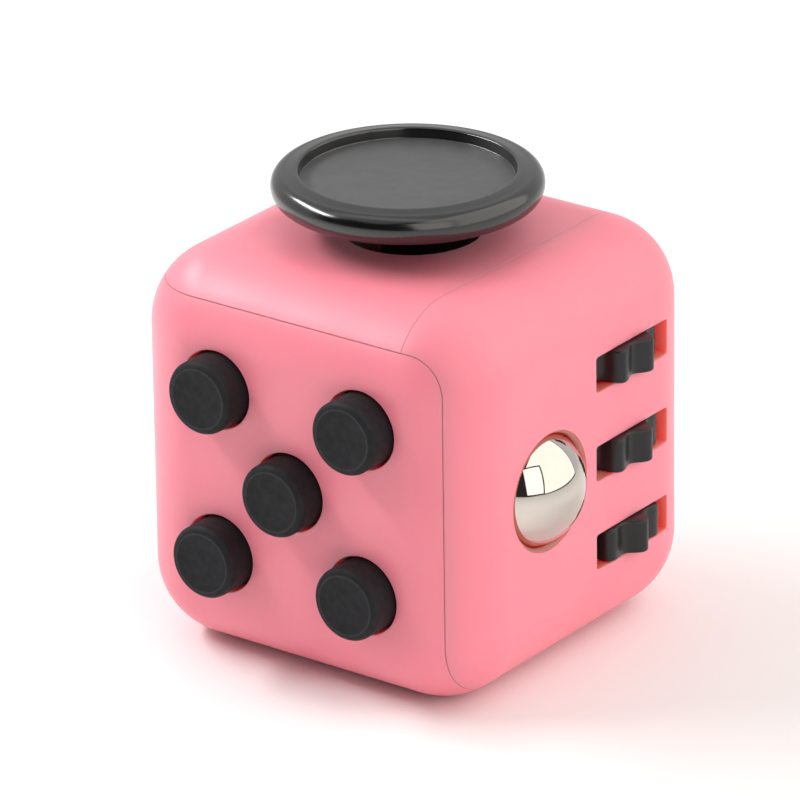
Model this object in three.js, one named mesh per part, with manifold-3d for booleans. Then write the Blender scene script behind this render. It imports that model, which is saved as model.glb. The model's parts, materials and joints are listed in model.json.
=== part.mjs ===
// Fidget cube: a pocket toy with a different finger control on each face of a rounded cube.
// Frame: millimetres, +Z up, origin at the centre of the bottom face.
// Front (-Y) push buttons, right (+X) ball and gear wheels, top (+Z) joystick,
// left (-X) spin dial, back (+Y) rocker switch, bottom (-Z) worry dish.

import * as THREE from 'three';
import { RoundedBoxGeometry } from 'three/addons/geometries/RoundedBoxGeometry.js';
import { mergeVertices } from 'three/addons/utils/BufferGeometryUtils.js';
import Module from 'manifold-3d';

const wasm = await Module();
wasm.setup();

// ---------------------------------------------------------------- driving dimensions
const cubeSize = 33;
const edgeRadius = 6.54;
const wall = 1.7;
const seamGap = 0.1;

// the main shell ends on these two planes, and its corner between them is round
const seamHeight = 13.6;
const seamSide = 13.8;
const seamCorner = 3.2;
const topCoverEdge = 10;
const tongueDepth = 1.8;
const tongueThickness = 0.85;
const tongueInside = 12.3;

const buttonPitch = 6.94;
const buttonRadius = 3;
const buttonHole = 3.21;
const buttonStand = 2.35;

const ballRadius = 5;
const ballStand = 2.4;
const ballY = -4.87;
const ballHole = 4.855;
const ballTravel = 0.8;

const gearPitch = 7.51;
const gearRadius = 5.07;
const gearLobes = 9;
const lobeDepth = 0.9;
const gearThickness = 2.76;
const gearX = 12.745;
const gearY = 6.235;
const slotLength = 9.7;
const slotHeight = 2.91;
const gearAngles = { upper: -26.7, middle: -30.4, lower: 0.7 };

const stickShift = [-0.27, -0.2];
const stickHole = 5.9;
const discRadius = 10.7;
const discHeight = 20.33;
const rimWidth = 1;
const rimOver = 1.14;
const rimUnder = 1.23;
const rimCrest = 1.3;
const recessRadius = 8.47;
const recessLevel = 0.41;
const stickPivot = 9;

const dialRadius = 10;
const dialStand = 2.49;
const rockerTilt = 8;
const rockerPivot = 13.2;
const rockerArc = 7.4;

// ---------------------------------------------------------------- worked out from them
const half = cubeSize / 2;
const inner = half - wall;
const ballX = half + ballStand - ballRadius;
const radians = THREE.MathUtils.degToRad;

// ---------------------------------------------------------------- solids
function solid(geometry) {
  geometry.deleteAttribute('normal');
  geometry.deleteAttribute('uv');
  const merged = mergeVertices(geometry, 1e-4);
  const corners = [];
  const index = merged.index.array;
  for (let i = 0; i < index.length; i += 3) {
    const [a, b, c] = index.slice(i, i + 3);
    if (a !== b && b !== c && c !== a) corners.push(a, b, c);
  }
  return new wasm.Manifold(new wasm.Mesh({
    numProp: 3,
    vertProperties: new Float32Array(merged.attributes.position.array),
    triVerts: new Uint32Array(corners),
  }));
}

function geometryOf(body) {
  const mesh = body.getMesh();
  const geometry = new THREE.BufferGeometry();
  geometry.setAttribute('position', new THREE.BufferAttribute(mesh.vertProperties, 3));
  geometry.setIndex(new THREE.BufferAttribute(mesh.triVerts, 1));
  geometry.computeVertexNormals();
  return geometry;
}

// geometry made along Y is turned to lie along the named axis
function turn(geometry, axis) {
  if (axis === 'x') geometry.rotateZ(-Math.PI / 2);
  if (axis === 'z') geometry.rotateX(Math.PI / 2);
  return geometry;
}

// a cylinder along an axis between two heights; centre is where the axis crosses height 0
function cylinder(axis, radius, low, high, centre = [0, 0, 0], sides = 24) {
  const geometry = new THREE.CylinderGeometry(radius, radius, high - low, sides);
  geometry.translate(0, (low + high) / 2, 0);
  return solid(turn(geometry, axis).translate(...centre));
}

function box(x0, x1, y0, y1, z0, z1) {
  const geometry = new THREE.BoxGeometry(x1 - x0, y1 - y0, z1 - z0);
  return solid(geometry.translate((x0 + x1) / 2, (y0 + y1) / 2, (z0 + z1) / 2));
}

function roundedBox(halfSize, radius, segments = 3) {
  const size = 2 * halfSize;
  return solid(new RoundedBoxGeometry(size, size, size, segments, radius));
}

// a profile of [radius, height] points turned about an axis
function turned(axis, profile, centre = [0, 0, 0], sides = 32) {
  const points = profile.map(([r, h]) => new THREE.Vector2(r, h));
  const geometry = new THREE.LatheGeometry(points, sides);
  return solid(turn(geometry, axis).translate(...centre));
}

// [radius, height] points of a circular arc round (centreR, centreH)
function arc(centreR, centreH, radius, fromDegrees, toDegrees, steps) {
  const points = [];
  for (let i = 0; i <= steps; i += 1) {
    const angle = radians(fromDegrees + ((toDegrees - fromDegrees) * i) / steps);
    points.push([centreR + radius * Math.cos(angle), centreH + radius * Math.sin(angle)]);
  }
  return points;
}

// an outline made into a plate whose middle is at height 0
function extruded(shape, depth) {
  const geometry = new THREE.ExtrudeGeometry(shape, {
    depth, curveSegments: 8, bevelEnabled: false,
  });
  return geometry.translate(0, 0, -depth / 2);
}

function union(first, ...others) {
  return others.reduce((sum, other) => sum.add(other), first);
}

function cut(body, ...tools) {
  return tools.reduce((rest, tool) => rest.subtract(tool), body);
}

class Helix extends THREE.Curve {
  constructor(radius, length, turns) {
    super();
    Object.assign(this, { radius, length, turns });
  }

  getPoint(t) {
    const angle = 2 * Math.PI * this.turns * t;
    return new THREE.Vector3(
      this.radius * Math.cos(angle), this.length * t, this.radius * Math.sin(angle));
  }
}

function coilSpring(axis, radius, wire, low, high, turns, centre) {
  const section = new THREE.Shape().absarc(0, 0, wire / 2, 0, 2 * Math.PI);
  const path = new Helix(radius, high - low - wire, turns);
  const geometry = new THREE.ExtrudeGeometry(section, {
    steps: 10 * turns, curveSegments: 3, extrudePath: path,
  });
  geometry.translate(0, low + wire / 2, 0);
  return solid(turn(geometry, axis).translate(...centre));
}

// a pan-head screw along an axis: tip and seat are heights, the head lies past the seat
function screw(axis, centre, seat, tip, headRadius, shankRadius, headHeight) {
  const way = Math.sign(seat - tip);
  const top = seat + way * headHeight;
  const profile = [
    [0, tip], [shankRadius * 0.5, tip], [shankRadius, tip + way * 0.4], [shankRadius, seat],
    [headRadius, seat], [headRadius, seat + way * headHeight * 0.5], [headRadius * 0.7, top],
    [0, top],
  ];
  if (way < 0) profile.reverse();
  const body = turned(axis, profile, centre, 10);
  return cut(body, driveSlot(axis, centre, top, way, headRadius));
}

// the cross recess in a screw's head
function driveSlot(axis, centre, top, way, headRadius) {
  const reach = headRadius * 0.62;
  const deep = [top - way * 0.3, top + way * 0.3];
  const [low, high] = [Math.min(...deep), Math.max(...deep)];
  const bars = [[reach, 0.16], [0.16, reach]].map(([a, b]) => {
    const geometry = new THREE.BoxGeometry(2 * a, high - low, 2 * b);
    geometry.translate(0, (low + high) / 2, 0);
    return solid(turn(geometry, axis).translate(...centre));
  });
  return union(...bars);
}

// ---------------------------------------------------------------- housing
// the front outline of the main shell, carried through the cube along Y
function mainRegion(offset) {
  const far = cubeSize;
  const right = seamSide + offset;
  const top = seamHeight + offset;
  const corner = seamCorner + offset;
  const outline = new THREE.Shape();
  outline.moveTo(-far, -far);
  outline.lineTo(right, -far);
  outline.lineTo(right, top - corner);
  outline.absarc(right - corner, top - corner, corner, 0, Math.PI / 2, false);
  outline.lineTo(-far, top);
  outline.closePath();
  return solid(extruded(outline, 2 * far).rotateX(Math.PI / 2));
}

const outside = roundedBox(half, edgeRadius);
const shellWall = outside.subtract(roundedBox(inner, edgeRadius - wall));
const mainSpace = mainRegion(0);
const mainClear = mainRegion(seamGap);
const reach = cubeSize;

const buttonSpots = {
  top_left: [-buttonPitch, buttonPitch],
  top_right: [buttonPitch, buttonPitch],
  center: [0, 0],
  bottom_left: [-buttonPitch, -buttonPitch],
  bottom_right: [buttonPitch, -buttonPitch],
};
const plateScrewSpots = [[0, buttonPitch], [buttonPitch, 0], [0, -buttonPitch], [-buttonPitch, 0]];
const plateFront = -12;
const plateBack = -11.2;

const dishLength = 8.6;
const dishWidth = 6.6;
const dishDepth = 1.3;

// the thumb dish in the bottom: the cap of a flattened ball
function worryDish() {
  const below = 3;
  const tall = below + dishDepth;
  const widen = 1 / Math.sqrt(1 - (below / tall) ** 2);
  const geometry = new THREE.SphereGeometry(1, 24, 14);
  geometry.scale(dishLength * widen, dishWidth * widen, tall);
  return solid(geometry.translate(0, 0, -half - below));
}

const rockerHalfWidth = 4.7;
const rockerOpening = [rockerHalfWidth + 0.2, rockerArc + 0.1];
const cageBase = 9;
const cageScrewHeights = { upper: 8.9, lower: -8.9 };
const bushOuter = 3.3;

function mainShell() {
  const backing = cylinder('z', 9.9, -inner - 0.2, -inner + 1.2);
  const plateBosses = plateScrewSpots.map(
    ([x, z]) => cylinder('y', 1.7, -inner - 0.2, plateFront - 0.1, [x, 0, z], 12));
  const plateHoles = plateScrewSpots.map(
    ([x, z]) => cylinder('y', 0.6, -inner - 0.9, plateFront + 1, [x, 0, z], 10));
  const cageBosses = Object.values(cageScrewHeights).map(
    (z) => cylinder('y', 1.2, cageBase + 0.1, inner + 0.2, [0, 0, z], 16));
  const cageHoles = Object.values(cageScrewHeights).map(
    (z) => cylinder('y', 0.6, cageBase - 1, inner, [0, 0, z], 12));
  const body = union(
    shellWall.intersect(mainSpace), backing, ...plateBosses, ...cageBosses);
  const buttonHoles = Object.values(buttonSpots).map(
    ([x, z]) => cylinder('y', buttonHole, -reach, -inner + 0.5, [x, 0, z]));
  const [wide, tall] = rockerOpening;
  return cut(
    body, ...buttonHoles, ...plateHoles, ...cageHoles, worryDish(),
    box(-wide, wide, inner - 1, reach, -tall, tall),
    cylinder('x', bushOuter + 0.1, -reach, -inner + 1, [0, 0, 0], 28));
}

// a rim just inside the main shell that a cover is located by
function tongue(clearance) {
  const outer = inner - clearance;
  const core = inner - tongueThickness - 0.15;
  return cut(
    roundedBox(outer, edgeRadius - wall - clearance),
    roundedBox(core, edgeRadius - (half - core)));
}

const gearScrewHeights = { upper: 11.6, lower: -11.6 };
const bracketFront = 6.9;
const cupScrewHeights = { upper: 7.4, lower: -7.4 };

// the ball's hole: a cone outside the lip, a round seat behind it
function ballOpening() {
  const clear = ballRadius + 0.15;
  const lip = half - 0.45;
  const lipAngle = THREE.MathUtils.radToDeg(Math.asin((lip - ballX) / clear));
  return turned('x', [
    [0, ballX - 1], [clear, ballX - 1], ...arc(0, ballX, clear, 0, lipAngle, 4),
    [ballHole, half], [ballHole, half + 1], [0, half + 1],
  ], [0, ballY, 0], 28);
}

function rightCover() {
  const region = cut(box(topCoverEdge + seamGap, reach, -reach, reach, -reach, reach), mainClear);
  const shell = shellWall.intersect(region);
  const tall = [-reach, 9];
  const ring = cut(
    union(
      tongue(0.15).intersect(box(seamSide - tongueDepth, inner - 0.2, -reach, reach, ...tall)),
      tongue(-0.1).intersect(box(seamSide + seamGap, inner - 0.1, -reach, reach, ...tall))),
    box(0, reach, -tongueInside, tongueInside, -tongueInside, reach));
  const bosses = Object.values(gearScrewHeights).map(
    (z) => cylinder('x', 1.2, bracketFront + 0.1, inner + 0.2, [0, gearY, z], 16));
  const bossHoles = Object.values(gearScrewHeights).map(
    (z) => cylinder('x', 0.6, bracketFront - 1, inner, [0, gearY, z], 12));
  const cupHoles = Object.values(cupScrewHeights).map(
    (z) => cylinder('x', 0.55, inner - 1, half - 0.5, [0, ballY, z], 12));
  const slots = [gearPitch, 0, -gearPitch].map((z) => box(
    13.2, reach, gearY - slotLength / 2, gearY + slotLength / 2,
    z - slotHeight / 2, z + slotHeight / 2));
  return cut(union(shell, ring, ...bosses), ballOpening(), ...bossHoles, ...cupHoles, ...slots);
}

const stickScrewSpots = { left: [-8.6, 0], right: [8.6, 0] };

function topCover() {
  const region = box(-reach, topCoverEdge, -reach, reach, seamHeight + seamGap, reach);
  const shell = shellWall.intersect(region);
  const wide = [-reach, 8, -reach, reach];
  const ring = cut(
    union(
      tongue(0.15).intersect(box(...wide, seamHeight - tongueDepth, inner - 0.2)),
      tongue(-0.1).intersect(box(...wide, seamHeight + seamGap, inner - 0.1))),
    box(-tongueInside, reach, -tongueInside, tongueInside, 0, reach));
  const screwHoles = Object.values(stickScrewSpots).map(
    ([x, y]) => cylinder('z', 0.55, inner - 1, half - 0.5, [x, y, 0], 12));
  return cut(
    union(shell, ring), cylinder('z', stickHole, inner - 1, reach, [0, 0, 0], 32), ...screwHoles);
}

// ---------------------------------------------------------------- push buttons
function button([x, z]) {
  const front = -half - buttonStand;
  const round = 0.55;
  const flangeFront = -inner + 0.15;
  return turned('y', [
    [0, front], ...arc(buttonRadius - round, front + round, round, -90, 0, 3),
    [buttonRadius, flangeFront], [buttonRadius + 0.6, flangeFront],
    [buttonRadius + 0.6, flangeFront + 0.6], [1, flangeFront + 0.6], [1, -13.35], [0, -13.35],
  ], [x, 0, z], 20);
}

// a rubber dome standing on the backing plate: it pushes its button back out
function buttonDome([x, z]) {
  const foot = plateFront - 0.05;
  return turned('y', [
    [0, foot - 1.15], [1.1, foot - 1.15], [1.7, foot - 0.3], [2.5, foot - 0.3],
    [2.5, foot], [1.5, foot], [0.8, foot - 0.8], [0, foot - 0.8],
  ], [x, 0, z], 16);
}

function buttonPlate() {
  const outline = new THREE.Shape();
  const side = 9.9;
  const corner = 2;
  outline.moveTo(side, -side + corner);
  outline.absarc(side - corner, side - corner, corner, 0, Math.PI / 2, false);
  outline.absarc(-side + corner, side - corner, corner, Math.PI / 2, Math.PI, false);
  outline.absarc(-side + corner, -side + corner, corner, Math.PI, 1.5 * Math.PI, false);
  outline.absarc(side - corner, -side + corner, corner, 1.5 * Math.PI, 2 * Math.PI, false);
  const plate = extruded(outline, plateBack - plateFront).rotateX(Math.PI / 2);
  const holes = plateScrewSpots.map(
    ([x, z]) => cylinder('y', 0.75, plateFront - 1, plateBack + 1, [x, 0, z], 10));
  return cut(solid(plate.translate(0, (plateFront + plateBack) / 2, 0)), ...holes);
}

// ---------------------------------------------------------------- ball
const cupCentre = ballX - ballTravel;
const cupInner = ballRadius + 0.2;
const cupOuter = cupInner + 0.6;
const cupFront = inner - 0.15;
const tubeBore = 1.4;
const tubeOuter = 2;
const tubeFloor = 3.4;

function ballCup() {
  const outerStart = -THREE.MathUtils.radToDeg(Math.acos(tubeOuter / cupOuter));
  const innerStart = -THREE.MathUtils.radToDeg(Math.acos(tubeBore / cupInner));
  const cup = turned('x', [
    [0, tubeFloor - 0.8], [tubeOuter, tubeFloor - 0.8],
    ...arc(0, cupCentre, cupOuter, outerStart, 0, 4), [cupOuter, cupFront], [cupInner, cupFront],
    ...arc(0, cupCentre, cupInner, 0, innerStart, 4), [tubeBore, tubeFloor], [0, tubeFloor],
  ], [0, ballY, 0], 22);
  const ears = Object.values(cupScrewHeights).map((z) => {
    const way = Math.sign(z);
    const ends = [way * (cupInner + 0.3), z + way * 1.3].sort((a, b) => a - b);
    return box(cupFront - 1, cupFront, ballY - 1.3, ballY + 1.3, ...ends);
  });
  const holes = Object.values(cupScrewHeights).map(
    (z) => cylinder('x', 0.6, cupFront - 2, half, [0, ballY, z], 12));
  return cut(union(cup, ...ears), ...holes);
}

function ball() {
  const geometry = new THREE.SphereGeometry(ballRadius, 26, 16);
  return solid(geometry.translate(ballX, ballY, 0));
}

const plungerFront = ballX - ballRadius - 0.09;
const plungerBack = 5.4;

function ballPlunger() {
  return turned('x', [
    [0, plungerBack], [1.1, plungerBack], [1.25, plungerBack + 0.2],
    [1.25, plungerFront - 0.3], [1, plungerFront], [0, plungerFront],
  ], [0, ballY, 0], 18);
}

// ---------------------------------------------------------------- gear wheels
function gearOutline(turnDegrees) {
  const steps = gearLobes * 6;
  const points = [];
  for (let i = 0; i < steps; i += 1) {
    const angle = (2 * Math.PI * i) / steps;
    const crest = Math.abs(Math.cos((gearLobes * angle) / 2)) ** 2.3;
    const radius = gearRadius - lobeDepth * (1 - crest);
    const place = angle + radians(turnDegrees);
    points.push(new THREE.Vector2(radius * Math.cos(place), radius * Math.sin(place)));
  }
  return new THREE.Shape(points);
}

function gearWheel(height, angle) {
  const wheel = solid(extruded(gearOutline(angle), gearThickness));
  return cut(wheel, cylinder('z', 0.9, -reach, reach, [0, 0, 0], 20))
    .translate([gearX, gearY, height]);
}

const armHeights = [9.65, 3.78, -3.78, -9.65];

function gearBracket() {
  const arms = armHeights.flatMap((z) => [
    box(bracketFront - 0.5, gearX, gearY - 1.8, gearY + 1.8, z - 0.45, z + 0.45),
    cylinder('z', 1.8, z - 0.45, z + 0.45, [gearX, gearY, 0], 24),
  ]);
  const plate = box(bracketFront - 1, bracketFront, gearY - 2.6, gearY + 2.6, -12.6, 12.6);
  const holes = Object.values(gearScrewHeights).map(
    (z) => cylinder('x', 0.75, 0, 10, [0, gearY, z], 12));
  return cut(
    union(plate, ...arms), ...holes, cylinder('z', 0.85, -reach, reach, [gearX, gearY, 0], 20));
}

// a thin strip on the bracket whose bump rests in the valley behind its wheel
function gearLeaf(height, angle) {
  const pitch = 360 / gearLobes;
  const valleys = Array.from({ length: gearLobes }, (_, i) => angle + pitch * (i + 0.5));
  const offAxis = (degrees) => Math.abs(((degrees % 360) + 360) % 360 - 180);
  const [nearest] = valleys.sort((a, b) => offAxis(a) - offAxis(b));
  const out = gearRadius - lobeDepth + 0.75;
  const x = gearX + out * Math.cos(radians(nearest));
  const y = gearY + out * Math.sin(radians(nearest));
  return union(
    box(bracketFront + 0.1, bracketFront + 0.35, gearY - 2.4, gearY + 2.4, height - 1, height + 1),
    box(bracketFront + 0.2, x, y - 0.4, y + 0.4, height - 1, height + 1),
    cylinder('z', 0.4, height - 1, height + 1, [x, y, 0], 14));
}

// ---------------------------------------------------------------- joystick
const [stickX, stickY] = stickShift;
const stickCentre = [stickX, stickY, 0];
const moduleTop = inner - 0.15;
const moduleInner = 6;
const moduleOuter = 6.8;
const moduleFloor = 4.2;

function joystickHousing() {
  const tube = turned('z', [
    [0, moduleFloor - 0.8], [moduleOuter, moduleFloor - 0.8], [moduleOuter, moduleTop],
    [moduleInner, moduleTop], [moduleInner, moduleFloor], [0, moduleFloor],
  ], stickCentre, 28);
  const ears = Object.values(stickScrewSpots).map(([x]) => {
    const way = Math.sign(x);
    const ends = [way * (moduleInner + 0.5), x + way * 1.3].sort((a, b) => a - b);
    return box(...ends, -1.3, 1.3, moduleTop - 1, moduleTop);
  });
  const holes = Object.values(stickScrewSpots).map(
    ([x, y]) => cylinder('z', 0.6, moduleTop - 2, half, [x, y, 0], 12));
  const pinHoles = cylinder('x', 0.68, -reach, reach, [0, stickY, stickPivot], 20);
  return cut(union(tube, ...ears), ...holes, pinHoles);
}

function joystickRing() {
  const ring = turned('z', [
    [3, stickPivot - 0.9], [3.9, stickPivot - 0.9], [3.9, stickPivot + 0.9],
    [3, stickPivot + 0.9], [3, stickPivot - 0.9],
  ], stickCentre, 24);
  const pins = [[-6.5, -3.4], [3.4, 6.5]].map(
    ([low, high]) => cylinder('x', 0.6, low, high, [stickX, stickY, stickPivot], 16));
  return cut(
    union(ring, ...pins), cylinder('y', 0.68, -reach, reach, [stickX, 0, stickPivot], 20));
}

const stemTop = discHeight - 0.33;

function joystickStem() {
  const stem = turned('z', [
    [0, stickPivot - 3], [2.4, stickPivot - 3], [2.4, stickPivot - 2.4], [1.2, stickPivot - 2.4],
    [1.2, stickPivot - 1], [2.2, stickPivot - 1], [2.2, 18.1], [1.3, 18.1], [1.3, stemTop],
    [0, stemTop],
  ], stickCentre, 20);
  const pins = cylinder('y', 0.58, -3.8, 3.8, [stickX, stickY, stickPivot], 16);
  return union(stem, pins);
}

// points of a rim's quarter, round the ring's middle and stretched to the rim's thickness
function rimQuarter(thickness, fromDegrees, toDegrees, steps) {
  const ringRadius = discRadius - rimWidth;
  return arc(0, 0, rimWidth, fromDegrees, toDegrees, steps).map(
    ([r, h]) => [ringRadius + r, discHeight + (h * thickness) / rimWidth]);
}

function joystickCap() {
  const floor = discHeight + recessLevel;
  const under = discHeight - 0.5;
  const crest = discHeight + rimCrest;
  const drop = THREE.MathUtils.radToDeg(Math.asin((discHeight - under) / rimUnder));
  return turned('z', [
    [0, stemTop + 0.1], [1.4, stemTop + 0.1], [1.4, 18.2], [2.25, 18.2], [2.25, under - 0.3],
    [2.6, under], ...rimQuarter(rimUnder, -180 + drop, -15, 6), ...rimQuarter(rimOver, 0, 90, 5),
    [recessRadius + 0.35, crest], [recessRadius + 0.12, crest - 0.12],
    [recessRadius, crest - 0.35], [recessRadius, floor], [0, floor],
  ], stickCentre, 36);
}

// ---------------------------------------------------------------- spin dial
function dialBush() {
  return turned('x', [
    [2.5, -half + 0.1], [bushOuter, -half + 0.1], [bushOuter, -inner + 0.15],
    [4.3, -inner + 0.15], [4.3, -13.6], [2.5, -13.6], [2.5, -half + 0.1],
  ], [0, 0, 0], 28);
}

function spinDial() {
  const front = -half - 1.7;
  const back = -half - 0.3;
  const round = 0.6;
  const disc = turned('x', [
    [0, front + 0.3], [dialRadius - 2.2, front + 0.3], [dialRadius - 1.8, front],
    ...arc(dialRadius - round, front + round, round, -90, 0, 4), [dialRadius, back],
    [2.4, back], [2.4, -13.4], [0.7, -13.4], [0.7, -half], [0, -half],
  ], [0, 0, 0], 32);
  const tip = -half - dialStand;
  const nub = turned('x', [
    [0, tip], ...arc(0.8, tip + 0.5, 0.5, -90, 0, 3), [1.5, front + 0.5], [0, front + 0.5],
  ], [0, 0, 5.6], 20);
  return union(disc, nub);
}

function dialWasher() {
  return turned('x', [
    [0.7, -13.3], [3.8, -13.3], [3.8, -12.8], [0.7, -12.8], [0.7, -13.3],
  ], [0, 0, 0], 24);
}

// ---------------------------------------------------------------- rocker switch
// outline of the rocker about its pivot, seen along X: two faces that meet in a shallow V
function rockerOutline() {
  const rise = Math.tan(radians(rockerTilt));
  const valley = 3.7;
  const a = 1 + rise * rise;
  const b = 2 * valley * rise;
  const c = valley * valley - rockerArc * rockerArc;
  const end = (-b + Math.sqrt(b * b - 4 * a * c)) / (2 * a);
  const top = Math.atan2(valley + rise * end, end);
  const low = Math.asin(1 / rockerArc);
  const outline = new THREE.Shape();
  outline.moveTo(2.2, -1.6);
  outline.absarc(0, 0, rockerArc, low, top, false);
  outline.lineTo(0, valley);
  outline.absarc(0, 0, rockerArc, Math.PI - top, Math.PI - low, false);
  outline.lineTo(-2.2, -1.6);
  return outline;
}

function rockerSwitch() {
  const geometry = extruded(rockerOutline(), 2 * rockerHalfWidth);
  // the outline's x becomes Z, and its y stays Y
  geometry.rotateY(-Math.PI / 2);
  geometry.rotateX(radians(rockerTilt));
  const pinHole = cylinder('x', 0.78, -reach, reach, [0, 0, 0], 20);
  return cut(solid(geometry), pinHole).translate([0, rockerPivot, 0]);
}

function rockerCage() {
  const side = rockerHalfWidth + 0.95;
  const cheeks = [-1, 1].map((way) => {
    const ends = [way * (side - 0.7), way * side].sort((a, b) => a - b);
    return box(...ends, cageBase - 0.4, inner - 0.15, -4.5, 4.5);
  });
  const base = box(-side, side, cageBase - 0.8, cageBase, -10.2, 10.2);
  const holes = Object.values(cageScrewHeights).map(
    (z) => cylinder('y', 0.75, 0, 10, [0, 0, z], 12));
  return cut(
    union(base, ...cheeks), ...holes, cylinder('x', 0.78, -reach, reach, [0, rockerPivot, 0], 20));
}

// a bowed strip under the rocker that snaps it to one side or the other
function rockerLeaf() {
  const radius = 5.2;
  const spread = 0.9;
  const strip = new THREE.Shape();
  strip.absarc(0, 0, radius, Math.PI / 2 - spread, Math.PI / 2 + spread, false);
  strip.absarc(0, 0, radius - 0.25, Math.PI / 2 + spread, Math.PI / 2 - spread, true);
  strip.closePath();
  const geometry = extruded(strip, 4).rotateY(-Math.PI / 2);
  return solid(geometry.translate(0, 11.15 - radius, 0));
}

// ---------------------------------------------------------------- scene graph
const finishes = {
  pink_plastic: { color: 0xf79aa6, roughness: 0.35, metalness: 0 },
  black_rubber: { color: 0x2b2b2e, roughness: 0.8, metalness: 0 },
  black_gloss: { color: 0x17171a, roughness: 0.25, metalness: 0 },
  gear_plastic: { color: 0x303236, roughness: 0.5, metalness: 0 },
  inner_plastic: { color: 0x3a3c40, roughness: 0.6, metalness: 0 },
  chrome: { color: 0xdcdcdc, roughness: 0.1, metalness: 1 },
  steel: { color: 0xa9abb0, roughness: 0.35, metalness: 1 },
  brass: { color: 0xb9913f, roughness: 0.35, metalness: 1 },
};

const cube = new THREE.Group();
cube.position.z = half;

function place(name, body, finish) {
  const material = new THREE.MeshStandardMaterial(finishes[finish]);
  const mesh = new THREE.Mesh(geometryOf(body), material);
  mesh.name = name;
  cube.add(mesh);
}

place('main_shell', mainShell(), 'pink_plastic');
place('right_cover', rightCover(), 'pink_plastic');
place('top_cover', topCover(), 'pink_plastic');

for (const [spot, at] of Object.entries(buttonSpots)) {
  place(`button_${spot}`, button(at), 'black_rubber');
  place(`button_dome_${spot}`, buttonDome(at), 'black_rubber');
}
place('button_plate', buttonPlate(), 'inner_plastic');
plateScrewSpots.forEach(([x, z], i) => {
  place(`button_plate_screw_${i + 1}`,
    screw('y', [x, 0, z], plateBack + 0.05, -15.2, 1.3, 0.5, 0.7), 'steel');
});

place('ball', ball(), 'chrome');
place('ball_cup', ballCup(), 'inner_plastic');
place('ball_plunger', ballPlunger(), 'brass');
place('ball_spring',
  coilSpring('x', 1, 0.24, tubeFloor + 0.05, plungerBack - 0.05, 4, [0, ballY, 0]), 'steel');
for (const [side, z] of Object.entries(cupScrewHeights)) {
  place(`ball_cup_screw_${side}`,
    screw('x', [0, ballY, z], cupFront - 1.05, half - 0.7, 1.1, 0.45, 0.6), 'steel');
}

const gearHeights = { upper: gearPitch, middle: 0, lower: -gearPitch };
for (const [level, z] of Object.entries(gearHeights)) {
  place(`gear_wheel_${level}`, gearWheel(z, gearAngles[level]), 'gear_plastic');
  place(`gear_click_leaf_${level}`, gearLeaf(z, gearAngles[level]), 'steel');
}
place('gear_axle', cylinder('z', 0.8, -10.4, 10.4, [gearX, gearY, 0], 20), 'steel');
place('gear_bracket', gearBracket(), 'inner_plastic');
for (const [side, z] of Object.entries(gearScrewHeights)) {
  place(`gear_bracket_screw_${side}`,
    screw('x', [0, gearY, z], bracketFront - 1.05, 12.5, 1.3, 0.5, 0.7), 'steel');
}

place('joystick_cap', joystickCap(), 'black_gloss');
place('joystick_stem', joystickStem(), 'black_gloss');
place('joystick_gimbal_ring', joystickRing(), 'inner_plastic');
place('joystick_housing', joystickHousing(), 'inner_plastic');
place('joystick_spring', coilSpring(
  'z', 2.2, 0.32, moduleFloor + 0.05, stickPivot - 3.05, 3, stickCentre), 'steel');
for (const [side, [x, y]] of Object.entries(stickScrewSpots)) {
  place(`joystick_screw_${side}`,
    screw('z', [x, y, 0], moduleTop - 1.05, half - 0.7, 1.1, 0.45, 0.6), 'steel');
}

place('spin_dial', spinDial(), 'black_gloss');
place('dial_bush', dialBush(), 'brass');
place('dial_washer', dialWasher(), 'steel');
place('dial_screw', screw('x', [0, 0, 0], -12.75, -half + 0.4, 1.6, 0.6, 0.8), 'steel');

place('rocker_switch', rockerSwitch(), 'black_gloss');
place('rocker_pivot_pin',
  cylinder('x', 0.7, -5.6, 5.6, [0, rockerPivot, 0], 20), 'steel');
place('rocker_cage', rockerCage(), 'inner_plastic');
place('rocker_leaf_spring', rockerLeaf(), 'steel');
for (const [side, z] of Object.entries(cageScrewHeights)) {
  place(`rocker_cage_screw_${side}`,
    screw('y', [0, 0, z], cageBase - 0.85, 13.8, 1.2, 0.5, 0.7), 'steel');
}

const fidgetCube = new THREE.Group();
fidgetCube.add(cube);

export default fidgetCube;
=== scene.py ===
"""Looks of the fidget cube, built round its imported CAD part.

Meshes are worked out in millimetres about the cube's centre, and finish_piece() puts them
into the frame's metres. Front is -Y, the ball and gear wheels are on +X, the joystick is on +Z.
"""

import json
import math

import bmesh
import bpy
import numpy as np
from mathutils import Matrix, Vector

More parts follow.
